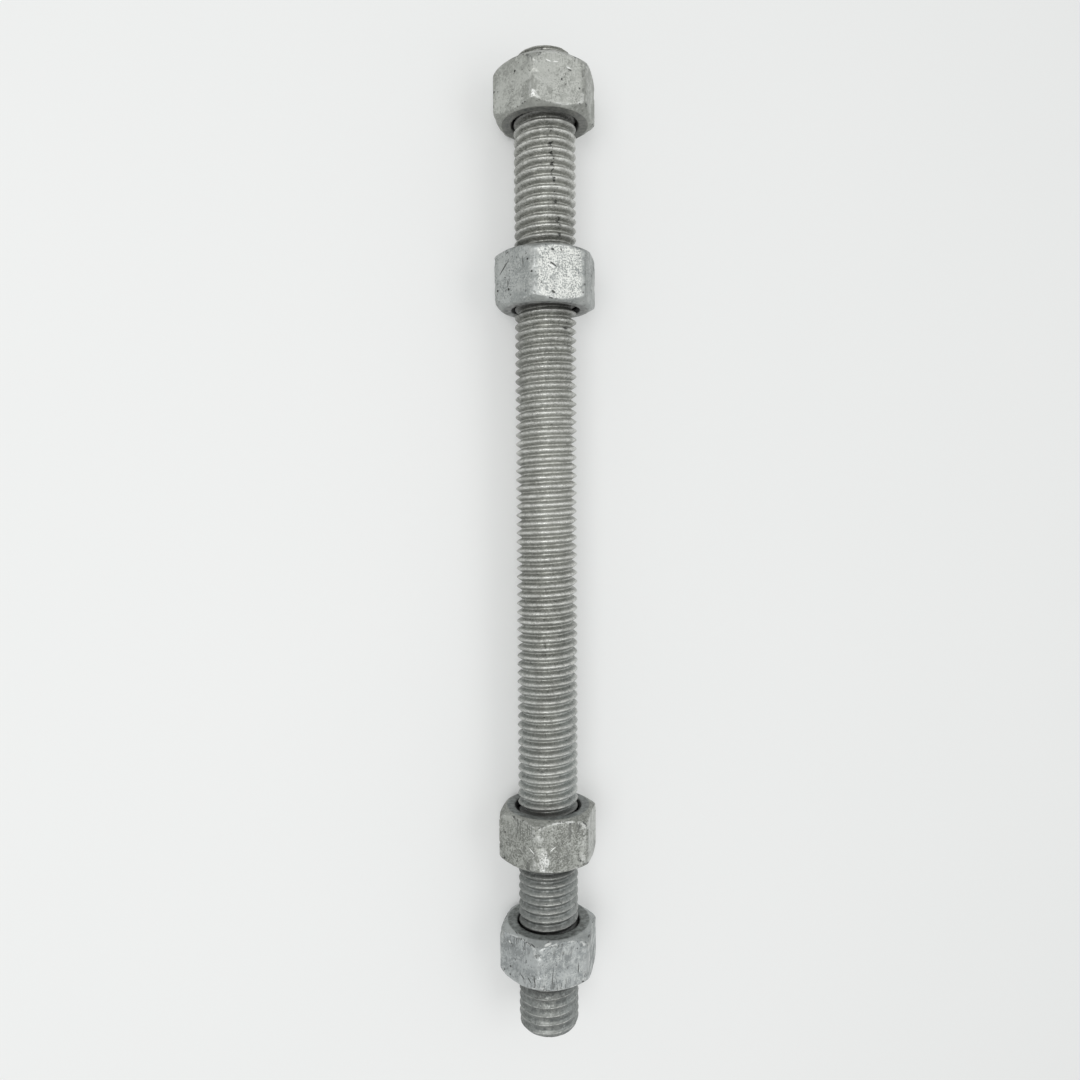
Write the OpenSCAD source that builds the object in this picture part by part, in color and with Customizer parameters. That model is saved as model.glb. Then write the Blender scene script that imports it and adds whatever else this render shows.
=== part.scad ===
// Spacer bolt: a galvanised rod, threaded from end to end, that carries two pairs of hexagon nuts.
// The rod lies along X with its middle at the origin. It rests on the flats of its nuts, on the -Z side.
// The +X end is the flush end, where the rod stands out least, and the -X end is the long end.

/* [Rod] */
// Length of the rod from end to end
rod_length = 254; // [200:1:400]
// Diameter over the crests of the thread, zinc included
thread_diameter = 15.9; // [12:0.1:18]
// Distance along the rod from one crest to the next
thread_pitch = 2.309; // [1.8:0.001:3]
// Depth of the thread from crest to root
thread_depth = 1.3; // [0.8:0.05:1.6]
// Width of the land along each crest
crest_width = 0.5; // [0.3:0.05:0.8]
// Turn of the rod, and of its thread with it, about its own axis
thread_turn = 285; // [0:1:359]
// Length along the rod of the chamfer at each end
end_chamfer_length = 1.8; // [0.8:0.1:4]
// How far the chamfer cuts in from the crests
end_chamfer_depth = 1.5; // [0.8:0.1:3]

/* [Nuts] */
// Width of a nut across its flats
nut_width = 23.8; // [22:0.1:32]
// Height of a nut along the rod
nut_height = 13.9; // [9:0.1:20]
// How far each corner of the hexagon is rounded off
corner_rounding = 0.25; // [0.1:0.05:0.6]
// Step in from the flats to the rim of a bearing face
bearing_inset = 0.8; // [0.3:0.05:1]
// Slope of the chamfer at both ends of a nut
nut_chamfer_angle = 30; // [20:1:40]
// Gap all round between the crests and the bore of a nut
bore_clearance = 0.1; // [0.05:0.01:0.3]
// How far the countersinks open out past the bore
countersink_width = 0.95; // [0.3:0.05:1.2]
// Slope of the countersinks from the axis
countersink_angle = 45; // [30:1:60]

/* [Spacing] */
// How far the rod stands out past the outer nut at the flush end
flush_reach = 3.2; // [2:0.1:30]
// Clear gap between the two nuts at the flush end
flush_grip = 32.5; // [5:0.1:50]
// Clear gap between the two nuts at the long end
long_grip = 17.6; // [5:0.1:50]
// How far the rod stands out past the outer nut at the long end
long_reach = 15.3; // [2:0.1:40]

/* [Hidden] */

// Facets round one turn of the thread, and the least room between an end of the rod and the thread
thread_sides = 16;
end_strip = 0.2;
round_facets = 96;
cut_overrun = 1;

// Rod
rod_half = rod_length / 2;
crest_r = thread_diameter / 2;
root_r = crest_r - thread_depth;
end_r = crest_r - end_chamfer_depth;

// One pitch of the thread as a root followed by the two edges of a crest
profile_x = [0, (thread_pitch - crest_width) / 2, (thread_pitch + crest_width) / 2];
profile_r = [root_r, crest_r, crest_r];
profile_count = len(profile_x);

// Nuts: each place is the face nearest the long end
corner_r = nut_width / 2 / cos(30) - corner_rounding;
bearing_r = nut_width / 2 - bearing_inset;
nut_chamfer = (corner_r - bearing_r) * tan(nut_chamfer_angle);
bore_r = crest_r + bore_clearance;
countersink_depth = countersink_width / tan(countersink_angle);
flush_outer_x = rod_half - flush_reach - nut_height;
flush_inner_x = flush_outer_x - flush_grip - nut_height;
long_outer_x = long_reach - rod_half;
long_inner_x = long_outer_x + nut_height + long_grip;

// The thread is drawn as straight lines along the rod, one for each side, that share their numbering:
// place k on a line is place k on the next line, a little further on. After a full turn it is the
// place one pitch on, so the line after the last is the first line again. Places are numbered from
// a point short of the rod's long end, so that none on the rod is below 0.
function line_x(side, k) =
    thread_pitch * (floor(k / profile_count) + side / thread_sides - thread_turn / 360 - 1)
    + profile_x[k % profile_count] - rod_half;

// First and last places on a line that lie between the ends of the rod
function first_on(side) =
    side == thread_sides ? first_on(0) - profile_count :
    min([for (j = [0:profile_count - 1])
        j + profile_count * ceil((end_strip - rod_half - line_x(side, j)) / thread_pitch)]);
function last_on(side) =
    side == thread_sides ? last_on(0) - profile_count :
    max([for (j = [0:profile_count - 1])
        j + profile_count * floor((rod_half - end_strip - line_x(side, j)) / thread_pitch)]);

// The thread's height is cut down by the chamfer near both ends
function chamfer_r(x) = end_r + (rod_half - abs(x)) * end_chamfer_depth / end_chamfer_length;
function on_circle(x, r, side) =
    [x, r * cos(360 * side / thread_sides), r * sin(360 * side / thread_sides)];
function thread_point(side, k) =
    let (x = line_x(side, k)) on_circle(x, min(profile_r[k % profile_count], chamfer_r(x)), side);

// Where each line's points start in the list of points
function line_start(side) =
    side == 0 ? 0 : line_start(side - 1) + last_on(side - 1) - first_on(side - 1) + 1;
line_starts = [for (side = [0:thread_sides]) line_start(side)];
function point_no(side, k) =
    side == thread_sides ? point_no(0, k + profile_count) : line_starts[side] + k - first_on(side);
function long_rim_no(side) = line_starts[thread_sides] + side % thread_sides;
function flush_rim_no(side) = long_rim_no(side) + thread_sides;

thread_points = [
    for (side = [0:thread_sides - 1])
        for (k = [first_on(side):last_on(side)])
            thread_point(side, k),
    for (x = [-rod_half, rod_half])
        for (side = [0:thread_sides - 1])
            on_circle(x, end_r, side)
];

flank_faces = [
    for (side = [0:thread_sides - 1])
        for (k = [first_on(side):last_on(side + 1) - 1])
            let (a = point_no(side, k), b = point_no(side + 1, k),
                 c = point_no(side + 1, k + 1), d = point_no(side, k + 1))
                each [[a, d, c], [a, c, b]]
];

// Each end closes with a ring of triangles from the thread's last places to the rim, and a flat disc
long_end_faces = [
    for (side = [0:thread_sides - 1])
        let (rim = long_rim_no(side), first = first_on(side), next = first_on(side + 1)) each [
            [rim, point_no(side, first), point_no(side + 1, first)],
            for (k = [first:-1:next + 1])
                [rim, point_no(side + 1, k), point_no(side + 1, k - 1)],
            [rim, point_no(side + 1, next), long_rim_no(side + 1)]
        ]
];
flush_end_faces = [
    for (side = [0:thread_sides - 1])
        let (rim = flush_rim_no(side + 1), last = last_on(side), next = last_on(side + 1)) each [
            [rim, point_no(side + 1, next), point_no(side, next)],
            for (k = [next:1:last - 1])
                [rim, point_no(side, k), point_no(side, k + 1)],
            [rim, point_no(side, last), flush_rim_no(side)]
        ]
];
disc_faces = [
    [for (side = [0:thread_sides - 1]) long_rim_no(side)],
    [for (side = [thread_sides - 1:-1:0]) flush_rim_no(side)]
];

// One rod, threaded along its whole length
module threaded_rod() {
    color([0.56, 0.57, 0.55])
        polyhedron(
            points = thread_points,
            faces = concat(flank_faces, long_end_faces, flush_end_faces, disc_faces),
            convexity = 20
        );
}

// A body of revolution about the rod, from a half section given as [distance along the rod, radius]
module turned(section) {
    rotate([0, 90, 0])
        rotate_extrude($fn = round_facets)
            polygon([for (point = section) [point[1], point[0]]]);
}

// A hexagon nut, chamfered at both ends and countersunk at both mouths of its bore
module hexagon_nut(x, tint) {
    color(tint)
        translate([x, 0, 0])
            difference() {
                intersection() {
                    rotate([0, 90, 0])
                        rotate([0, 0, 30])
                            cylinder(h = nut_height, d = nut_width / cos(30), $fn = 6);
                    turned([
                        [0, 0],
                        [0, bearing_r],
                        [nut_chamfer, corner_r],
                        [nut_height - nut_chamfer, corner_r],
                        [nut_height, bearing_r],
                        [nut_height, 0]
                    ]);
                }
                turned([
                    [-cut_overrun, 0],
                    [-cut_overrun, bore_r + countersink_width],
                    [0, bore_r + countersink_width],
                    [countersink_depth, bore_r],
                    [nut_height - countersink_depth, bore_r],
                    [nut_height, bore_r + countersink_width],
                    [nut_height + cut_overrun, bore_r + countersink_width],
                    [nut_height + cut_overrun, 0]
                ]);
            }
}

// The outer and inner nuts grip a member between them at each end of the rod
module flush_outer_nut() hexagon_nut(flush_outer_x, [0.66, 0.68, 0.66]);
module flush_inner_nut() hexagon_nut(flush_inner_x, [0.75, 0.76, 0.75]);
module long_inner_nut() hexagon_nut(long_inner_x, [0.58, 0.59, 0.58]);
module long_outer_nut() hexagon_nut(long_outer_x, [0.67, 0.69, 0.70]);

threaded_rod();
flush_outer_nut();
flush_inner_nut();
long_inner_nut();
long_outer_nut();
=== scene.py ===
# Spacer bolt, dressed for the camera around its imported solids. Lengths are in metres. The rod lies along
# X with its middle at the origin, its flush end at +X and its long end at -X, and +Z is up.
from math import atan2, ceil, cos, pi, radians, sin, tan

import bpy
from mathutils import Matrix, Vector


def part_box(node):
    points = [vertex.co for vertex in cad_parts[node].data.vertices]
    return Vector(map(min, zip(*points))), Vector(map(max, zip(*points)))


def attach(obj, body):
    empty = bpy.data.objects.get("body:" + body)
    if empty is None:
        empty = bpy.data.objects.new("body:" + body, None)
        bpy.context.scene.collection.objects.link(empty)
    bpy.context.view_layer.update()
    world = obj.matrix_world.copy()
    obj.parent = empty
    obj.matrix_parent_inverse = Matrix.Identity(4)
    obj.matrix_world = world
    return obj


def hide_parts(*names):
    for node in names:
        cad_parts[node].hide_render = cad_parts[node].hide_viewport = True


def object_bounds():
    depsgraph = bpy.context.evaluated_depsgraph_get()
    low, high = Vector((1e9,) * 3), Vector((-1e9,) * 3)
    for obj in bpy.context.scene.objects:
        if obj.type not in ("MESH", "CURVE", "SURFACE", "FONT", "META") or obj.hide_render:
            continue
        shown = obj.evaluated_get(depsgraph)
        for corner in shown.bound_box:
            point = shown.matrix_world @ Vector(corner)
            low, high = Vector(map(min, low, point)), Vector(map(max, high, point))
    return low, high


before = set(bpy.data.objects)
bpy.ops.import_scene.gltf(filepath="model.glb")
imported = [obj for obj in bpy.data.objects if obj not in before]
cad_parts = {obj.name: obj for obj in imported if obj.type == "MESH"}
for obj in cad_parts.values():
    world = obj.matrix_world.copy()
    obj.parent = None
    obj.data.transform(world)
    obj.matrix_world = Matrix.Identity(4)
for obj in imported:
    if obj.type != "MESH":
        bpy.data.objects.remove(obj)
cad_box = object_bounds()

# Threaded rod: a round steel bar with a thread rolled along its whole length, cut to ten inches and then
# dipped in molten zinc. The zinc rounds the crests, and at the long end it has half filled the thread.
scene = bpy.context.scene
MM = 0.001
ROD_LENGTH = 254 * MM
THREAD_DIAMETER = 15.9 * MM
THREAD_PITCH = 2.309 * MM
THREAD_DEPTH = 1.45 * MM
THREAD_TURN = 285 / 360
STEPS_PER_PITCH = 14
ROD_SIDES = 60
ROD_TURNS = ceil(ROD_LENGTH / THREAD_PITCH) + 3
END_CLEARANCE = 0.004 * MM


def feed(tree, socket, value):
    """Gives a node's socket a plain value, or links it to what another node puts out."""
    if isinstance(value, Term):
        value = value.socket
    if isinstance(value, bpy.types.NodeSocket):
        tree.links.new(value, socket)
    else:
        socket.default_value = value


def add_node(tree, kind, inputs=None, **settings):
    """Adds a node with its settings, and feeds its inputs by name or number."""
    node = tree.nodes.new(kind)
    for name, value in settings.items():
        setattr(node, name, value)
    for name, value in (inputs or {}).items():
        feed(tree, node.inputs[name], value)
    return node


class Term:
    """A number that nodes work out, and that is added and multiplied like a plain one."""

    def __init__(self, tree, socket):
        self.tree = tree
        self.socket = socket

    def math(self, operation, *others):
        node = add_node(self.tree, "ShaderNodeMath", operation=operation)
        for socket, value in zip(node.inputs, (self, *others)):
            feed(self.tree, socket, value)
        return Term(self.tree, node.outputs[0])

    def __add__(self, other):
        return self.math("ADD", other)

    def __sub__(self, other):
        return self.math("SUBTRACT", other)

    def __rsub__(self, other):
        return self * -1 + other

    def __mul__(self, other):
        return self.math("MULTIPLY", other)

    def __truediv__(self, other):
        return self.math("DIVIDE", other)

    def __pow__(self, other):
        return self.math("POWER", other)

    def __abs__(self):
        return self.math("ABSOLUTE")

    __radd__ = __add__
    __rmul__ = __mul__

    def at_most(self, other):
        return self.math("MINIMUM", other)

    def at_least(self, other):
        return self.math("MAXIMUM", other)

    def ramp(self, low, high):
        """0 up to one number, 1 from another on, and smooth between them."""
        node = add_node(self.tree, "ShaderNodeMapRange", {0: self, 1: low, 2: high},
                        interpolation_type="SMOOTHSTEP")
        return Term(self.tree, node.outputs[0])

    def blend(self, start, end):
        """A share of the way from one number to another."""
        return self * (end - start) + start


def open_tree(name, kind, inputs, outputs):
    """Starts a node tree with named inputs, whose defaults say what they are, and named outputs."""
    tree = bpy.data.node_groups.new(name, kind)
    kinds = {float: "NodeSocketFloat", int: "NodeSocketInt", tuple: "NodeSocketColor",
             Vector: "NodeSocketVector", type(None): "NodeSocketMaterial"}
    for label, default in inputs.items():
        socket = tree.interface.new_socket(name=label, in_out="INPUT", socket_type=kinds[type(default)])
        if default is not None:
            socket.default_value = default
    for label, socket_kind in outputs.items():
        tree.interface.new_socket(name=label, in_out="OUTPUT", socket_type=socket_kind)
    given = add_node(tree, "NodeGroupInput")
    return tree, {label: Term(tree, given.outputs[label]) for label in inputs}


def close_tree(tree, results):
    """Hands a tree's results to its named outputs."""
    add_node(tree, "NodeGroupOutput", results)


def split(tree, vector):
    node = add_node(tree, "ShaderNodeSeparateXYZ", {0: vector})
    return [Term(tree, socket) for socket in node.outputs]


def join(tree, x, y, z):
    return add_node(tree, "ShaderNodeCombineXYZ", {0: x, 1: y, 2: z}).outputs[0]


def noise(tree, place, scale, seed, detail=2.0):
    """Smooth random numbers from 0 to 1 over a surface, a new set for each seed."""
    node = add_node(tree, "ShaderNodeTexNoise",
                    {"Vector": place, "W": seed, "Scale": scale, "Detail": detail}, noise_dimensions="4D")
    return Term(tree, node.outputs[0])


def turned_grid(tree, rows, sides):
    """A flat sheet to be wrapped round the rod's axis: its mesh, and where each point is on it, 0 to 1."""
    grid = add_node(tree, "GeometryNodeMeshGrid", {"Size X": 1.0, "Size Y": 1.0,
                                                   "Vertices X": rows + 1, "Vertices Y": sides + 1})
    along, round_axis, _ = split(tree, add_node(tree, "GeometryNodeInputPosition").outputs[0])
    return grid.outputs["Mesh"], along + 0.5, round_axis + 0.5


def round_axis_place(tree, x, radius, turn):
    """The point at a distance along the rod, a radius, and a part of a full turn from +Y towards +Z."""
    angle = turn * (2 * pi)
    return join(tree, x, radius * angle.math("COSINE"), radius * angle.math("SINE"))


def wrap_sheet(tree, sheet, place, material, marks):
    """Marks a sheet for its material, moves it to its places, and closes its seam and its poles."""
    for name, value in marks.items():
        marked = add_node(tree, "GeometryNodeStoreNamedAttribute",
                          {"Geometry": sheet, "Name": name, "Value": value}, data_type="FLOAT")
        sheet = marked.outputs[0]
    moved = add_node(tree, "GeometryNodeSetPosition", {"Geometry": sheet, "Position": place})
    closed = add_node(tree, "GeometryNodeMergeByDistance", {"Geometry": moved.outputs[0],
                                                            "Distance": 0.001 * MM})
    outward = add_node(tree, "GeometryNodeFlipFaces", {"Mesh": closed.outputs[0]})
    smooth = add_node(tree, "GeometryNodeSetShadeSmooth", {"Geometry": outward.outputs[0]})
    real = add_node(tree, "GeometryNodeRealizeInstances", {"Geometry": smooth.outputs[0]})
    coated = add_node(tree, "GeometryNodeSetMaterial", {"Geometry": real.outputs[0], "Material": material})
    close_tree(tree, {"Geometry": coated.outputs[0]})


def grow_piece(name, tree, values):
    """Runs a tree with its inputs' values, and keeps what it makes as a plain mesh."""
    piece = bpy.data.objects.new(name, bpy.data.meshes.new(name + "_start"))
    scene.collection.objects.link(piece)
    modifier = piece.modifiers.new(name, "NODES")
    modifier.node_group = tree
    for item in tree.interface.items_tree:
        if item.in_out == "INPUT" and item.name in values:
            modifier[item.identifier] = values[item.name]
    graph = bpy.context.evaluated_depsgraph_get()
    mesh = bpy.data.meshes.new_from_object(piece.evaluated_get(graph))
    piece.modifiers.remove(modifier)
    piece.data = mesh
    mesh.name = name
    return piece


rod_tree, rod = open_tree(
    "Threaded rod", "GeometryNodeTree",
    {"Length": ROD_LENGTH, "Diameter": THREAD_DIAMETER, "Pitch": THREAD_PITCH, "Depth": THREAD_DEPTH,
     "Turn": THREAD_TURN, "Crest width": 0.36 * MM, "Root width": 0.26 * MM,
     "Crest softness": 0.7 * MM, "Root softness": 0.25 * MM,
     "Chamfer length": 1.8 * MM, "Chamfer depth": 1.5 * MM, "End crown": 0.65 * MM,
     "Filled length": 17.0 * MM, "Filled ridge": 0.42 * MM, "Part filled": 0.55,
     "Part filled length": 45.0 * MM, "Zinc on crests": 0.05 * MM,
     "Zinc unevenness": 0.16 * MM, "Wander": 0.16, "Seed": 3.0,
     "Turns": ROD_TURNS, "Steps": STEPS_PER_PITCH, "Sides": ROD_SIDES, "Material": None},
    {"Geometry": "NodeSocketGeometry"})
sheet, along, turn = turned_grid(rod_tree, rod["Turns"] * rod["Steps"], rod["Sides"])

# Each row of the sheet follows the helix. Whole numbers of thread are roots, and halves are crests
thread = along * rod["Turns"] - 2
x = (thread + turn - rod["Turn"]) * rod["Pitch"] - rod["Length"] * 0.5
reach = abs(x)
shoulder = rod["Length"] * 0.5 - rod["End crown"]
on_rod = reach.at_most(shoulder)
across_end = (1 - (reach - on_rod) / rod["Pitch"]).at_least(0)

# Height of the thread above its root, in full and where zinc fills it to a low ridge
on_crests = round_axis_place(rod_tree, x, rod["Diameter"] * 0.5, turn)
wander = noise(rod_tree, on_crests, 0.5 / MM, rod["Seed"] + 5, 3.0)
thread = thread + (wander - 0.5) * rod["Wander"]
from_root = abs(thread - thread.math("ROUND"))
flank = (rod["Pitch"] - rod["Crest width"] - rod["Root width"]) * 0.5
rise = (from_root * rod["Pitch"] - rod["Root width"] * 0.5) * rod["Depth"] / flank
full = rise.math("SMOOTH_MIN", rod["Depth"], rod["Crest softness"])
full = full.math("SMOOTH_MAX", 0.0, rod["Root softness"])
filled = rod["Depth"] - rod["Filled ridge"] * (1 - (from_root * 2) ** 2.5)
from_long_end = x + rod["Length"] * 0.5
half_clear = from_long_end.ramp(rod["Filled length"], rod["Filled length"] * 1.2)
clear = from_long_end.ramp(rod["Part filled length"], rod["Part filled length"] * 1.2)
unfilled = clear * rod["Part filled"] + half_clear * (1 - rod["Part filled"])
height = unfilled.blend(filled, full)

# The chamfers cut the thread down towards the ends, and the zinc lies unevenly over all of it
radius = rod["Diameter"] * 0.5 - rod["Depth"] + height + rod["Zinc on crests"]
chamfer = (rod["Length"] * 0.5 - on_rod) * rod["Chamfer depth"] / rod["Chamfer length"]
radius = radius.math("SMOOTH_MIN", rod["Diameter"] * 0.5 - rod["Chamfer depth"] + chamfer, 0.4 * MM)
radius = radius * across_end
end_x = x.math("SIGN") * (on_rod + rod["End crown"] * (1 - across_end * across_end))
even_place = round_axis_place(rod_tree, end_x, radius, turn)
lumps = (noise(rod_tree, even_place, 1.0 / MM, rod["Seed"], 3.0) - 0.3).at_least(0)
radius = radius - lumps * rod["Zinc unevenness"] * across_end
wrap_sheet(rod_tree, sheet, round_axis_place(rod_tree, end_x, radius, turn), rod["Material"],
           {"crest": across_end.ramp(0.9, 1.0).blend(0.4, from_root * 2), "filled": 1 - unfilled})


def mix_colour(tree, share, start, end):
    """A colour that goes from one to another by a share from 0 to 1."""
    node = add_node(tree, "ShaderNodeMix", {0: share, 6: start, 7: end}, data_type="RGBA")
    return node.outputs[2]


def object_place(tree):
    """Place on the piece in millimetres, as a vector."""
    start = add_node(tree, "ShaderNodeTexCoord").outputs["Object"]
    node = add_node(tree, "ShaderNodeVectorMath", {0: start, "Scale": 1 / MM}, operation="SCALE")
    return node.outputs[0]


def mark(tree, name):
    """A mark that the piece's mesh carries, such as how near a crest a place is."""
    return Term(tree, add_node(tree, "ShaderNodeAttribute", attribute_name=name).outputs["Fac"])


# Zinc skin, which the rod and the nuts share: dull and bright patches, grain, pale flecks and dark pits
zinc_tree, zinc = open_tree(
    "Zinc skin", "ShaderNodeTree",
    {"Dull": (0.2, 0.2, 0.2, 1.0), "Bright": (0.5, 0.5, 0.5, 1.0), "Patch scale": 0.5, "Patches": 1.0,
     "Grain": 0.5, "Flecks": 0.3, "Pits": 1.0, "Seed": 1.0},
    {"Color": "NodeSocketColor", "Roughness": "NodeSocketFloat", "Height": "NodeSocketFloat"})
place = object_place(zinc_tree)
patches = noise(zinc_tree, place, zinc["Patch scale"], zinc["Seed"], 3.0)
grainy = noise(zinc_tree, place, 0.22, zinc["Seed"] + 17, 1.0).ramp(0.35, 0.62)
grainy = grainy.blend(0.4, 1.15) * zinc["Grain"]
grain = noise(zinc_tree, place, 2.2, zinc["Seed"] + 7, 3.0)
tone = (patches - 0.5) * zinc["Patches"] * 2.2 + (grain - 0.5) * grainy * 4.5 + 0.5
tone = tone.ramp(0.0, 1.0)
flecks = noise(zinc_tree, place, 1.7, zinc["Seed"] + 13).ramp(0.60, 0.68) * zinc["Flecks"]
spots = add_node(zinc_tree, "ShaderNodeTexVoronoi", {"Vector": place, "W": zinc["Seed"], "Scale": 0.5},
                 voronoi_dimensions="4D")
holes = 1 - Term(zinc_tree, spots.outputs["Distance"]).ramp(0.12, 0.19)
smuts = 1 - noise(zinc_tree, place, 1.1, zinc["Seed"] + 21, 3.0).ramp(0.31, 0.38)
specks = (1 - noise(zinc_tree, place, 2.6, zinc["Seed"] + 29, 2.0).ramp(0.30, 0.42)) * grainy
pits = (holes + smuts * 0.6 + specks * 0.5).at_most(1.0) * zinc["Pits"]
skin = mix_colour(zinc_tree, tone, zinc["Dull"], zinc["Bright"])
skin = mix_colour(zinc_tree, flecks, skin, (0.72, 0.73, 0.71, 1.0))
skin = mix_colour(zinc_tree, pits, skin, (0.045, 0.045, 0.042, 1.0))
close_tree(zinc_tree, {"Color": skin, "Roughness": tone.blend(0.56, 0.40) + pits * 0.2,
                       "Height": patches * 0.5 + grain * grainy + flecks * 0.3 - pits * 0.6})


def start_material(name, metallic, bump):
    """A material with its shader: colour, roughness and bump height are linked by its maker."""
    material = bpy.data.materials.new(name)
    material.use_nodes = True
    tree = material.node_tree
    shader = tree.nodes["Principled BSDF"]
    shader.inputs["Metallic"].default_value = metallic
    relief = add_node(tree, "ShaderNodeBump", {"Strength": bump, "Distance": 0.15 * MM})
    tree.links.new(relief.outputs[0], shader.inputs["Normal"])
    return material, tree, shader.inputs, relief.inputs["Height"]


def add_group(tree, group_tree, values):
    """Places a group in a material, with that material's own values."""
    group = add_node(tree, "ShaderNodeGroup", node_tree=group_tree)
    for name, value in values.items():
        feed(tree, group.inputs[name], value)
    return group.outputs


def from_spot(tree, place, middle, reach, turn=0.0):
    """How far a place is from the middle of an oval spot, turned about Z. It is 1 at the spot's edge."""
    local = add_node(tree, "ShaderNodeMapping", {"Vector": place, "Location": middle, "Scale": reach,
                                                 "Rotation": (0.0, 0.0, turn)}, vector_type="TEXTURE")
    length = add_node(tree, "ShaderNodeVectorMath", {0: local.outputs[0]}, operation="LENGTH")
    return Term(tree, length.outputs["Value"])


rod_zinc, tree, shader, relief = start_material("rod_zinc", 0.7, 0.7)
place = object_place(tree)
x, y, z = split(tree, place)
crest = mark(tree, "crest")
filled = mark(tree, "filled")
pale = 1 - x.ramp(-60.0, -5.0)
# Cooler tone towards the long end, strongest on the rod's sides away from the camera's line, where it is
# painted light
cool_tone_and_side_light = (1 - x.ramp(-75.0, 10.0)) * abs(y - 2.3).ramp(1.0, 6.0).blend(0.2, 1.0)
dull = mix_colour(tree, pale, (0.240, 0.243, 0.221, 1.0), (0.310, 0.312, 0.289, 1.0))
skin = add_group(tree, zinc_tree, {
    "Dull": mix_colour(tree, cool_tone_and_side_light, dull, (0.295, 0.316, 0.308, 1.0)),
    "Bright": mix_colour(tree, cool_tone_and_side_light, (0.41, 0.414, 0.385, 1.0), (0.412, 0.440, 0.430, 1.0)),
    "Patch scale": 0.35, "Patches": 0.9, "Grain": 1.4, "Flecks": 0.4, "Pits": 0.85, "Seed": 5.0})

# Crests are painted bright, a painted highlight and partly rubbed zinc, and the roots get a painted
# highlight
# Painted light bands round x = 22 mm and x = 98 mm strengthen these; they are weaker on the +Y side
painted_light_bands = (1 - abs(x - 22).ramp(8.0, 44.0)).at_least((1 - abs(x - 98).ramp(4.0, 15.0)) * 0.6)
painted_light_bands = painted_light_bands * (1 - y.ramp(1.0, 7.0) * 0.6)
streaks = noise(tree, place, 0.5, 9.0, 4.0).ramp(0.36, 0.62)
sparks = noise(tree, place, 1.7, 33.0, 3.0).ramp(0.38, 0.58)
grainy = 1 - abs(x - 46).ramp(8.0, 24.0)
rubbed_and_highlit = (crest + grainy * 0.12).ramp(0.44, 0.78) * streaks.blend(0.4, 1.0) * (1 - filled)
rubbed_and_highlit = rubbed_and_highlit * (sparks + 0.2 - grainy * 0.4).blend(0.3, 1.1)
rubbed_and_highlit = rubbed_and_highlit * painted_light_bands.blend(0.8, 1.0) * pale.blend(1.0, 0.8)
root_highlight = (1 - crest.ramp(0.08, 0.26)) * noise(tree, place, 0.5, 14.0, 3.0).ramp(0.3, 0.6)
root_highlight = root_highlight * painted_light_bands.blend(0.25, 0.6) * (1 - filled)
# At the filled end the low ridges get a painted highlight and the troughs painted shade
choked = filled.ramp(0.0, 0.6)
ridge = crest.ramp(0.82, 0.97) * noise(tree, place, 0.7, 4.0, 4.0).ramp(0.38, 0.58) * choked
ridge = ridge * 0.8 * sparks.blend(0.6, 1.05)
trough_shade = (1 - crest.ramp(0.1, 0.8)) * noise(tree, place, 0.8, 6.0, 4.0).ramp(0.3, 0.65) * choked * 0.6

# Dirt and painted shade: the long end has gone dark, smuts follow a seam near the flush end, and painted
# shade with some stain lies by the nuts
aged = 1 - x.ramp(-84.0, -70.0)
grime_and_side_shade = noise(tree, place, 0.1, 27.0, 3.0).ramp(0.35, 0.7) * (1 - painted_light_bands) * (1 - aged) * 0.2
seam = (1 - abs(y - (x - 95) * 0.095).ramp(0.2, 1.0)) * z.ramp(0.0, 1.0) * x.ramp(48.0, 58.0)
seam = seam * noise(tree, place, 1.1, 19.0, 3.0).ramp(0.55, 0.61) * 0.9
near_nut = from_spot(tree, place, (57.95, -2.85, 7.0), (0.5, 0.85, 2.0))
near_middle = from_spot(tree, place, (-40.4, 6.6, 4.0), (0.4, 0.7, 1.5))
smuts = 1 - near_nut.at_most(near_middle).ramp(0.5, 1.1)
# Painted shade on the rod inside and beside each nut, with some stain; at the nuts on -X it reaches further
# on their long-end side
nut_shade_and_stain = 0.0
for name in ("flush_outer_nut", "flush_inner_nut", "long_inner_nut", "long_outer_nut"):
    low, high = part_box(name)
    middle = (low[0] + high[0]) / 2 / MM
    long_side = 1 - (x - middle).ramp(-2.0, 0.0)
    from_nut = abs(x - middle) - (high[0] - low[0]) / 2 / MM
    if middle < 0:
        from_nut = from_nut - long_side * 2.1
    shade_and_stain = (1 - from_nut.ramp(0.6, 3.8)) * noise(tree, place, 0.6, 23.0, 3.0).ramp(0.3, 0.55) * 0.6
    nut_shade_and_stain = (1 - from_nut.ramp(-0.2, 1.1)).at_least(shade_and_stain).at_least(nut_shade_and_stain)

# From the zinc up: the aged end with painted shade in its troughs, painted light, painted highlights, then
# dirt and painted shade
DIRT_AND_SHADE = (0.13, 0.133, 0.12, 1.0)
SOOT_AND_SHADE = (0.04, 0.04, 0.038, 1.0)
aged_and_trough_shade = (aged * 0.55).at_least(trough_shade + aged * 0.42)
metal = mix_colour(tree, aged_and_trough_shade, skin["Color"], (0.12, 0.129, 0.126, 1.0))
metal = mix_colour(tree, painted_light_bands * 0.4, metal, (0.52, 0.525, 0.495, 1.0))
# Painted light on the -Y side of the rod, towards the long end
painted_side_light = (1 - y.ramp(-5.0, -2.0)) * (1 - x.ramp(-10.0, 20.0)) * 0.18
metal = mix_colour(tree, painted_side_light, metal, (0.52, 0.53, 0.515, 1.0))
highlight_and_rub = (rubbed_and_highlit.at_least(root_highlight) * aged.blend(1.0, 0.8)).at_least(ridge * 0.75)
metal = mix_colour(tree, highlight_and_rub, metal, (0.68, 0.685, 0.655, 1.0))
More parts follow.
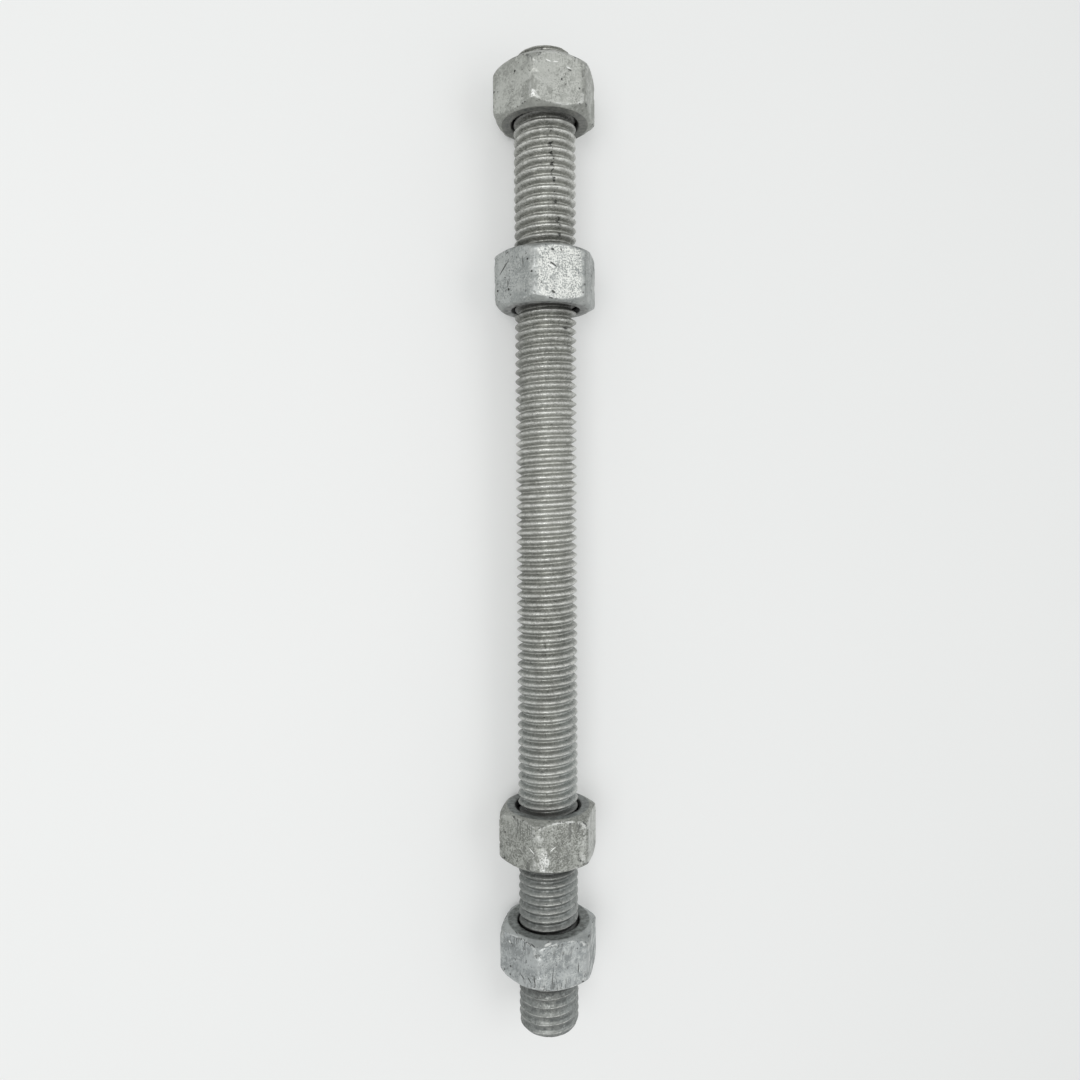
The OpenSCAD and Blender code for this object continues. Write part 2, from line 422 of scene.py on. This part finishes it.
# Painted shade on the +Y flank, strongest from x = 48 to 62 mm, joins the grime
painted_side_shade = (x.ramp(28.0, 48.0) - x.ramp(62.0, 84.0) * 0.7) * 0.25 + pale * 0.12 + 0.12
grime_and_side_shade = grime_and_side_shade.at_least(painted_side_shade * y.ramp(5.4, 7.4))
metal = mix_colour(tree, grime_and_side_shade, metal, DIRT_AND_SHADE)
# The painted shade stops before the rod's end past the flush outer nut, and joins the seam and smuts
nut_shade_and_stain = nut_shade_and_stain * (1 - x.ramp(123.4, 124.4)) * 0.75
metal = mix_colour(tree, nut_shade_and_stain.at_least(seam).at_least(smuts * 0.9), metal, SOOT_AND_SHADE)
feed(tree, shader["Base Color"], metal)
feed(tree, shader["Roughness"], Term(tree, skin["Roughness"]) - rubbed_and_highlit * 0.1 - 0.05)
feed(tree, relief, skin["Height"])

rod_piece = grow_piece("threaded_rod_zinc", rod_tree, {
    "Length": ROD_LENGTH - END_CLEARANCE, "Diameter": THREAD_DIAMETER, "Pitch": THREAD_PITCH,
    "Depth": THREAD_DEPTH, "Turn": THREAD_TURN, "Turns": ROD_TURNS, "Steps": STEPS_PER_PITCH,
    "Sides": ROD_SIDES, "Material": rod_zinc})
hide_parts("threaded_rod")
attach(rod_piece, "rod")

# Nuts: four hexagon nuts, forged from steel, turned at both ends, tapped and dipped in zinc. They are
# spun onto the rod by hand, and each pair grips one member between its bearing faces.
NUT_WIDTH = 23.8 * MM
NUT_HEIGHT = 13.9 * MM
CORNER_RADIUS = NUT_WIDTH / 2 / cos(radians(30)) - 0.25 * MM
BEARING_RADIUS = NUT_WIDTH / 2 - 0.8 * MM

nut_tree, nut = open_tree(
    "Hexagon nut", "GeometryNodeTree",
    {"Place": 0.0, "Height": NUT_HEIGHT, "Width": NUT_WIDTH, "Corner radius": CORNER_RADIUS,
     "Low rim radius": BEARING_RADIUS, "High rim radius": BEARING_RADIUS,
     "Low chamfer slope": tan(radians(30)), "High chamfer slope": tan(radians(30)),
     "Bore radius": 8.05 * MM, "Mouth radius": 9.0 * MM,
     "Edge softness": 0.5 * MM, "Edge rounding": 0.35 * MM,
     "Low corner rounding": 0.6 * MM, "High corner rounding": 0.6 * MM, "Knocks": 0.3 * MM,
     "Zinc unevenness": 0.09 * MM, "Seed": 1.0, "Rows": 150, "Sides": 180, "Material": None},
    {"Geometry": "NodeSocketGeometry"})

# Half section of the turned blank, as corners joined by straight lines and then rounded
low_chamfer = (nut["Corner radius"] - nut["Low rim radius"]) * nut["Low chamfer slope"]
high_chamfer = (nut["Corner radius"] - nut["High rim radius"]) * nut["High chamfer slope"]
mouth = nut["Mouth radius"] - nut["Bore radius"]
corners = [
    (mouth, nut["Bore radius"]),
    (0.0, nut["Mouth radius"]),
    (0.0, nut["Low rim radius"]),
    (low_chamfer, nut["Corner radius"]),
    (nut["Height"] - high_chamfer, nut["Corner radius"]),
    (nut["Height"], nut["High rim radius"]),
    (nut["Height"], nut["Mouth radius"]),
    (nut["Height"] - mouth, nut["Bore radius"]),
]
chain = add_node(nut_tree, "GeometryNodeMeshLine", {"Count": len(corners)})
choice = add_node(nut_tree, "GeometryNodeIndexSwitch", data_type="VECTOR")
while len(choice.index_switch_items) < len(corners):
    choice.index_switch_items.new()
number = Term(nut_tree, add_node(nut_tree, "GeometryNodeInputIndex").outputs[0])
feed(nut_tree, choice.inputs[0], number)
for socket, (corner_x, corner_radius) in zip(list(choice.inputs)[1:], corners):
    feed(nut_tree, socket, join(nut_tree, corner_x, corner_radius, 0.0))
section = add_node(nut_tree, "GeometryNodeSetPosition", {"Geometry": chain.outputs[0],
                                                         "Position": choice.outputs[0]})
section = add_node(nut_tree, "GeometryNodeMeshToCurve", {"Mesh": section.outputs[0]})
section = add_node(nut_tree, "GeometryNodeSetSplineCyclic", {"Geometry": section.outputs[0],
                                                             "Cyclic": True})
at_low = number.math("COMPARE", 3.0, 0.1)
at_high = number.math("COMPARE", 4.0, 0.1)
rounding = at_high.blend(at_low.blend(nut["Edge rounding"], nut["Low corner rounding"]),
                         nut["High corner rounding"])
section = add_node(nut_tree, "GeometryNodeFilletCurve", {"Curve": section.outputs[0], "Count": 8,
                                                         "Radius": rounding, "Limit Radius": True},
                   mode="POLY")
sheet, along, turn = turned_grid(nut_tree, nut["Rows"], nut["Sides"])
sample = add_node(nut_tree, "GeometryNodeSampleCurve", {"Curves": section.outputs[0], "Factor": along},
                  mode="FACTOR")
from_low, blank, _ = split(nut_tree, sample.outputs["Position"])
x = from_low + nut["Place"]

# The flats are pressed across the blank: they face up and down, and there is a corner at each side
across = (turn * 6 - (turn * 6).math("FLOOR") - 0.5) * (pi / 3)
flat = nut["Width"] * 0.5 / across.math("COSINE")
pressed = blank - flat
radius = blank.math("SMOOTH_MIN", flat, nut["Edge softness"])

# Zinc lies unevenly over the nut, and its corners and rims have been knocked in places
even_place = round_axis_place(nut_tree, x, radius, turn)
lumps = noise(nut_tree, even_place, 0.35 / MM, nut["Seed"])
blows = noise(nut_tree, even_place, 0.5 / MM, nut["Seed"] + 31, 1.0).ramp(0.52, 0.72)
edges = 1 - abs(pressed).ramp(0.1 * MM, 0.7 * MM)
radius = radius - (lumps - 0.3).at_least(0) * nut["Zinc unevenness"] - blows * edges * nut["Knocks"]
from_end = from_low.at_most(nut["Height"] - from_low)
# Marks the bore and the mouths, which the material paints near black as shade
hollow = 1 - blank.ramp(nut["Mouth radius"] - 0.25 * MM, nut["Mouth radius"])
inside_rim = 1 - blank.ramp(BEARING_RADIUS - 0.15 * MM, BEARING_RADIUS)
face = (1 - from_end.ramp(0.06 * MM, 0.3 * MM)) * inside_rim
wrap_sheet(nut_tree, sheet, round_axis_place(nut_tree, x, radius, turn), nut["Material"],
           {"pressed": pressed / MM, "hollow": hollow, "face": face, "along": from_low / nut["Height"]})


def stretch(tree, place, factors, turn=0.0):
    """Turns a place about Z and stretches it along its axes."""
    node = add_node(tree, "ShaderNodeMapping", {"Vector": place, "Rotation": (0.0, 0.0, turn),
                                                "Scale": factors})
    return node.outputs[0]


# Wear and painted light on a nut: painted glints on its flats, scrapes along and across them, nicks, and
# edge beads that are partly painted highlight
wear_and_glint_tree, wear = open_tree(
    "Nut wear and glint", "ShaderNodeTree",
    {"Top glint": 0.5, "Left glint": 0.2, "Right glint": 0.2, "Scrapes": 0.5, "Slashes": 0.3, "Nicks": 0.5,
     "Beads": 0.5, "Side beads": 0.2, "Bead width": 0.3, "Patch": 0.0, "Patch place": Vector((0, 0, 0)),
     "Patch reach": Vector((1, 1, 1)), "Seed": 1.0},
    {"Glint": "NodeSocketFloat", "Dark": "NodeSocketFloat", "Bead": "NodeSocketFloat"})
place = object_place(wear_and_glint_tree)
_, y, z = split(wear_and_glint_tree, place)
pressed = mark(wear_and_glint_tree, "pressed")
flat = pressed.ramp(0.12, 0.5)
top = z.ramp(10.4, 11.4)
left = y.ramp(-1.0, 1.0)
ragged = noise(wear_and_glint_tree, place, 0.5, wear["Seed"] + 1, 4.0)
sparkle = noise(wear_and_glint_tree, place, 2.6, wear["Seed"] + 2, 2.0) * 0.66
sparkle = (sparkle + noise(wear_and_glint_tree, place, 0.8, wear["Seed"] + 9, 4.0) * 0.34).ramp(0.43, 0.54)
blots = noise(wear_and_glint_tree, place, 0.75, wear["Seed"] + 8, 3.0).ramp(0.55, 0.66)
# The painted glints cover the top flat by one share and the +Y and -Y flats by others
cover = top.blend(left.blend(wear["Right glint"], wear["Left glint"]), wear["Top glint"])
glint = (ragged + cover - 0.5).ramp(0.40, 0.58) * flat
glint = glint * top.blend(sparkle.blend(0.6, 1.0), sparkle) * (1 - blots * 0.7)
lines = noise(wear_and_glint_tree, stretch(wear_and_glint_tree, place, (0.13, 1.3, 1.3)), 1.0, wear["Seed"] + 3, 2.0)
lines = (1 - abs(lines - 0.5) * 22).at_least(0)
near_end = abs(mark(wear_and_glint_tree, "along") - 0.5).ramp(0.05, 0.42)
scraped = noise(wear_and_glint_tree, place, 0.28, wear["Seed"] + 4, 2.0).ramp(0.42, 0.56) * near_end.blend(0.2, 1.0)
cuts = noise(wear_and_glint_tree, stretch(wear_and_glint_tree, place, (0.16, 1.5, 0.6), radians(38)), 1.0, wear["Seed"] + 5, 1.0)
cuts = cuts.ramp(0.70, 0.76)
nicks = (noise(wear_and_glint_tree, place, 0.8, wear["Seed"] + 6, 3.0) + wear["Nicks"] * 0.12).ramp(0.62, 0.67)
nicks = nicks * (1 - abs(pressed).ramp(0.1, 0.45)) * near_end.blend(0.25, 1.0)
dark = (lines * scraped * flat * wear["Scrapes"]).at_least(cuts * flat * wear["Slashes"])
dark = dark.at_least(nicks * 0.9)
# Painted highlight along the flats' edges, partly a zinc bead, weaker off the top flat, and a painted
# highlight patch at one spot
bead = 1 - abs(pressed - wear["Bead width"] * 0.4).ramp(wear["Bead width"] * 0.3, wear["Bead width"])
bead = bead * noise(wear_and_glint_tree, place, 0.7, wear["Seed"] + 7, 4.0).ramp(0.43, 0.58) * near_end.blend(0.3, 1.0)
bead = bead * top.blend(wear["Side beads"], 1.0)
from_patch = from_spot(wear_and_glint_tree, place, wear["Patch place"], wear["Patch reach"])
patch = 1 - (from_patch + (ragged - 0.5) * 2).ramp(0.7, 1.1)
bead = (bead * wear["Beads"]).at_least(patch * sparkle * wear["Patch"])
close_tree(wear_and_glint_tree, {"Glint": glint, "Dark": dark, "Bead": bead})


def scars(tree, place, marks):
    """Short marks on the upper flats, in millimetres: each has two ends, [x, y], and a half width."""
    scarred = 0.0
    for start, end, width in marks:
        middle = (Vector(start) + Vector(end)) / 2
        run = Vector(end) - Vector(start)
        top_z = NUT_WIDTH / 2 / MM
        middle_z = min(top_z, top_z * 2 - middle.y * tan(radians(60)))
        away = from_spot(tree, place, (middle.x, middle.y, middle_z), (run.length * 0.6, width, 4.0),
                         atan2(run.y, run.x))
        scarred = (1 - away.ramp(0.5, 1.0)).at_least(scarred)
    return scarred


# Each nut's zinc, its wear and painted glints, its painted glint colour, chamfer and bearing-face colours,
# scars and shape
NUTS = {
    "flush_outer": {
        "skin": {"Dull": (0.30, 0.308, 0.285, 1.0), "Bright": (0.46, 0.47, 0.44, 1.0), "Patch scale": 0.25,
                 "Patches": 1.4, "Grain": 0.8, "Flecks": 0.2, "Pits": 1.0},
        "wear": {"Top glint": 0.55, "Left glint": 0.15, "Right glint": 0.2, "Scrapes": 0.2, "Slashes": 0.2,
                 "Nicks": 0.6, "Beads": 0.45, "Side beads": 0.0, "Bead width": 0.35, "Patch": 0.9,
                 "Patch place": (112.2, 6.7, 11.6), "Patch reach": (1.0, 0.9, 0.9)},
        "glint": (0.50, 0.51, 0.48, 1.0), "chamfer": (0.27, 0.276, 0.256, 1.0),
        "ring": (0.26, 0.262, 0.240, 1.0), "seed": 11.0,
        "bright scars": [((120.2, 3.4), (119.9, 2.0), 0.22), ((120.0, 1.5), (120.1, 0.2), 0.22),
                         ((119.2, -1.8), (118.9, -3.0), 0.2)],
        "dark scars": [((118.7, -2.2), (118.4, -3.2), 0.2), ((116.5, -0.6), (115.8, -0.7), 0.3),
                       ((114.8, -5.1), (114.4, -5.3), 0.3)],
        "shape": {"High rim radius": 9.7 * MM, "High chamfer slope": tan(radians(34)),
                  "High corner rounding": 2.6 * MM, "Low corner rounding": 1.2 * MM,
                  "Mouth radius": 8.75 * MM}},
    "flush_inner": {
        "skin": {"Dull": (0.29, 0.307, 0.30, 1.0), "Bright": (0.425, 0.44, 0.43, 1.0), "Patch scale": 0.22,
                 "Patches": 2.0, "Grain": 0.95, "Flecks": 0.15, "Pits": 1.0},
        "wear": {"Top glint": 0.9, "Left glint": 0.1, "Right glint": 0.3, "Scrapes": 0.15, "Slashes": 0.8,
                 "Nicks": 0.3, "Beads": 0.3, "Side beads": 0.0},
        "glint": (0.74, 0.75, 0.72, 1.0), "chamfer": (0.30, 0.312, 0.303, 1.0),
        "ring": (0.43, 0.436, 0.428, 1.0), "seed": 23.0,
        "bright scars": [((72.2, 3.0), (71.4, 1.2), 0.32)],
        "dark scars": [((72.8, 2.7), (71.6, 0.7), 0.26), ((65.9, 2.3), (65.3, 1.2), 0.4),
                       ((75.8, 2.3), (75.7, 1.4), 0.4), ((76.3, -0.1), (75.4, -0.6), 0.2),
                       ((74.4, 11.0), (71.0, 12.8), 0.16)],
        "shape": {"High rim radius": 11.4 * MM, "High corner rounding": 0.9 * MM,
                  "Low corner rounding": 1.2 * MM}},
    "long_inner": {
        "skin": {"Dull": (0.20, 0.206, 0.187, 1.0), "Bright": (0.37, 0.38, 0.353, 1.0), "Patch scale": 0.3,
                 "Patches": 1.2, "Grain": 1.4, "Flecks": 0.4, "Pits": 1.0},
        "wear": {"Top glint": 0.36, "Left glint": 0.2, "Right glint": 1.0, "Scrapes": 1.0, "Slashes": 0.2,
                 "Nicks": 0.4, "Beads": 0.65, "Side beads": 0.2, "Bead width": 0.6, "Patch": 0.9,
                 "Patch place": (-76.1, 4.9, 11.8), "Patch reach": (3.1, 1.3, 1.6)},
        "glint": (0.545, 0.556, 0.53, 1.0), "chamfer": (0.29, 0.296, 0.276, 1.0),
        "ring": (0.31, 0.332, 0.325, 1.0), "seed": 37.0,
        "bright scars": [((-73.2, 8.2), (-74.5, 7.2), 0.16), ((-72.9, 1.8), (-74.0, 3.3), 0.18)],
        "dark scars": [((-77.2, -4.8), (-77.7, -5.1), 0.3)],
        "shape": {"Low corner rounding": 1.2 * MM, "High corner rounding": 1.0 * MM}},
    "long_outer": {
        "skin": {"Dull": (0.265, 0.282, 0.282, 1.0), "Bright": (0.42, 0.44, 0.44, 1.0), "Patch scale": 0.25,
                 "Patches": 1.7, "Grain": 0.7, "Flecks": 0.15, "Pits": 0.9},
        "wear": {"Top glint": 0.5, "Left glint": 0.3, "Right glint": 0.5, "Scrapes": 0.9, "Slashes": 0.7,
                 "Nicks": 0.6, "Beads": 0.6, "Side beads": 0.6, "Bead width": 0.35},
        "glint": (0.50, 0.52, 0.51, 1.0), "chamfer": (0.40, 0.415, 0.405, 1.0),
        "ring": (0.34, 0.366, 0.356, 1.0), "seed": 41.0,
        "bright scars": [((-98.6, 4.9), (-98.1, 2.8), 0.25), ((-100.2, 11.9), (-100.9, 11.6), 0.2)],
        "dark scars": [((-98.4, 7.9), (-98.9, 7.0), 0.16), ((-97.6, 10.7), (-97.9, 10.0), 0.18),
                       ((-104.3, -4.2), (-107.2, -4.2), 0.16), ((-104.5, 2.6), (-109.4, 2.9), 0.13),
                       ((-107.5, 9.9), (-108.8, 9.1), 0.16), ((-107.3, 8.6), (-108.8, 7.9), 0.16),
                       ((-106.2, 7.5), (-108.8, 7.2), 0.16), ((-100.6, 11.6), (-100.9, 11.3), 0.2),
                       ((-100.6, -0.3), (-101.5, -0.2), 0.16), ((-100.2, -4.0), (-100.7, -3.9), 0.18)],
        "shape": {"Low rim radius": 10.4 * MM, "Low chamfer slope": tan(radians(34)),
                  "Low corner rounding": 1.8 * MM, "High corner rounding": 1.2 * MM,
                  "Mouth radius": 8.55 * MM}},
}
for name, finish in NUTS.items():
    material, tree, shader, relief = start_material(name + "_zinc", 0.55, 0.6)
    skin = add_group(tree, zinc_tree, {**finish["skin"], "Seed": finish["seed"]})
    marks = add_group(tree, wear_and_glint_tree, {**finish["wear"], "Seed": finish["seed"]})
    place = object_place(tree)
    # Bright scars are scratches; the bead mark adds painted edge highlights to them
    bright = scars(tree, place, finish["bright scars"]).at_least(marks["Bead"])
    dark = scars(tree, place, finish["dark scars"]).at_least(marks["Dark"])
    worn = noise(tree, place, 0.9, finish["seed"], 4.0).ramp(0.3, 0.7)
    chamfer = (1 - mark(tree, "pressed").ramp(-0.3, 0.02)) * worn.blend(0.25, 0.65)
    # Painted glint over the zinc
    metal = mix_colour(tree, marks["Glint"], skin["Color"], finish["glint"])
    metal = mix_colour(tree, chamfer, metal, finish["chamfer"])
    metal = mix_colour(tree, bright, metal, (0.80, 0.81, 0.79, 1.0))
    metal = mix_colour(tree, dark, metal, (0.075, 0.078, 0.074, 1.0))
    ring = mix_colour(tree, worn, (0.16, 0.165, 0.160, 1.0), finish["ring"])
    metal = mix_colour(tree, mark(tree, "face"), metal, ring)
    # Painted shade: the bore and the mouths are near black
    metal = mix_colour(tree, mark(tree, "hollow"), metal, (0.02, 0.02, 0.02, 1.0))
    feed(tree, shader["Base Color"], metal)
    feed(tree, shader["Roughness"], Term(tree, skin["Roughness"]) - Term(tree, marks["Glint"]) * 0.08)
    feed(tree, relief, Term(tree, skin["Height"]) + Term(tree, marks["Glint"]) * 0.3 - dark * 0.5)
    low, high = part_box(name + "_nut")
    piece = grow_piece(name + "_nut_zinc", nut_tree, {
        "Place": low[0], "Height": high[0] - low[0], "Width": high[2] - low[2], "Seed": finish["seed"],
        "Material": material, **finish["shape"]})
    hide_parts(name + "_nut")
    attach(piece, name + "_nut")

# Studio: a pale table that the bolt lies on, two soft lamps above it to either side of the camera, and
# a camera close above the bolt, turned so that the flush end is at the top of the picture.
TABLE_SIZE = 8.0
TABLE_PALE = (0.84, 0.85, 0.845, 1.0)
UNLIT = (0.0, 0.0, 0.0, 1.0)
CAMERA_ROUND = radians(17.05)
CAMERA_ROLL = radians(0.322)
CAMERA_TILT = radians(3.297)
CAMERA_FOOT = 16.68 * MM
CAMERA_DISTANCE = 214.8 * MM
CAMERA_ASIDE = 1.71 * MM
CAMERA_LENS = 27.335

table_z = cad_box[0][2]
half = TABLE_SIZE / 2
table_mesh = bpy.data.meshes.new("table")
table_mesh.from_pydata([(-half, -half, table_z), (half, -half, table_z), (half, half, table_z),
                        (-half, half, table_z)], [], [(0, 1, 2, 3)])
table = bpy.data.objects.new("table", table_mesh)
scene.collection.objects.link(table)
table_paint = bpy.data.materials.new("table_paint")
table_paint.use_nodes = True
tree = table_paint.node_tree
shader = tree.nodes["Principled BSDF"].inputs
cloud = noise(tree, object_place(tree), 0.01, 2.0)
pale = mix_colour(tree, cloud, TABLE_PALE, (0.86, 0.865, 0.86, 1.0))
from_bolt = add_node(tree, "ShaderNodeVectorMath", {0: object_place(tree)}, operation="LENGTH")
glow = Term(tree, from_bolt.outputs["Value"]).ramp(250.0, 900.0).blend(0.24, 0.96)
glow = glow * Term(tree, add_node(tree, "ShaderNodeLightPath").outputs["Is Camera Ray"])
feed(tree, shader["Base Color"], mix_colour(tree, glow, pale, UNLIT))
feed(tree, shader["Emission Color"], mix_colour(tree, glow, UNLIT, pale))
shader["Emission Strength"].default_value = 1.0
shader["Roughness"].default_value = 0.9
shader["Specular IOR Level"].default_value = 0.1
table_mesh.materials.append(table_paint)


def round_rod(angle):
    """Direction away from the rod, turned from straight up towards +Y."""
    return Vector((0, sin(angle), cos(angle)))


def add_lamp(name, angle, power, width, length, distance):
    lamp = bpy.data.lights.new(name, "AREA")
    lamp.shape = "RECTANGLE"
    lamp.size = width
    lamp.size_y = length
    lamp.energy = power
    lamp_object = bpy.data.objects.new(name, lamp)
    scene.collection.objects.link(lamp_object)
    back = round_rod(angle)
    side = Vector((1, 0, 0)).cross(back)
    turned = Matrix((side, Vector((1, 0, 0)), side.cross(Vector((1, 0, 0))))).transposed().to_4x4()
    lamp_object.matrix_world = Matrix.Translation(back * distance) @ turned


add_lamp("lamp_main", CAMERA_ROUND + radians(8), 2.6, 0.44, 0.5, 0.8)
add_lamp("lamp_right", CAMERA_ROUND - radians(45), 0.82, 0.36, 0.6, 0.8)

world = bpy.data.worlds.new("studio")
scene.world = world
world.use_nodes = True
tree = world.node_tree
path = add_node(tree, "ShaderNodeLightPath").outputs
mirrored = Term(tree, path["Is Glossy Ray"]) * 0.25
behind = Term(tree, path["Is Camera Ray"]) * 0.33
sky = tree.nodes["Background"].inputs
feed(tree, sky["Color"], (0.95, 0.96, 0.955, 1.0))
feed(tree, sky["Strength"], mirrored + behind + 0.6)

camera_data = bpy.data.cameras.new("camera")
camera_data.lens = CAMERA_LENS
camera_data.sensor_width = 36
camera_data.clip_start = 0.01
camera = bpy.data.objects.new("camera", camera_data)
scene.collection.objects.link(camera)
along_rod = Vector((1, 0, 0))
to_camera = round_rod(CAMERA_ROUND)
level_right = along_rod.cross(to_camera)
right = cos(CAMERA_ROLL) * level_right - sin(CAMERA_ROLL) * along_rod
level_up = sin(CAMERA_ROLL) * level_right + cos(CAMERA_ROLL) * along_rod
back = cos(CAMERA_TILT) * to_camera + sin(CAMERA_TILT) * level_up
up = cos(CAMERA_TILT) * level_up - sin(CAMERA_TILT) * to_camera
spot = CAMERA_FOOT * along_rod + CAMERA_DISTANCE * to_camera - CAMERA_ASIDE * level_right
camera.matrix_world = Matrix.Translation(spot) @ Matrix((right, up, back)).transposed().to_4x4()
scene.camera = camera
scene.view_settings.view_transform = "Standard"
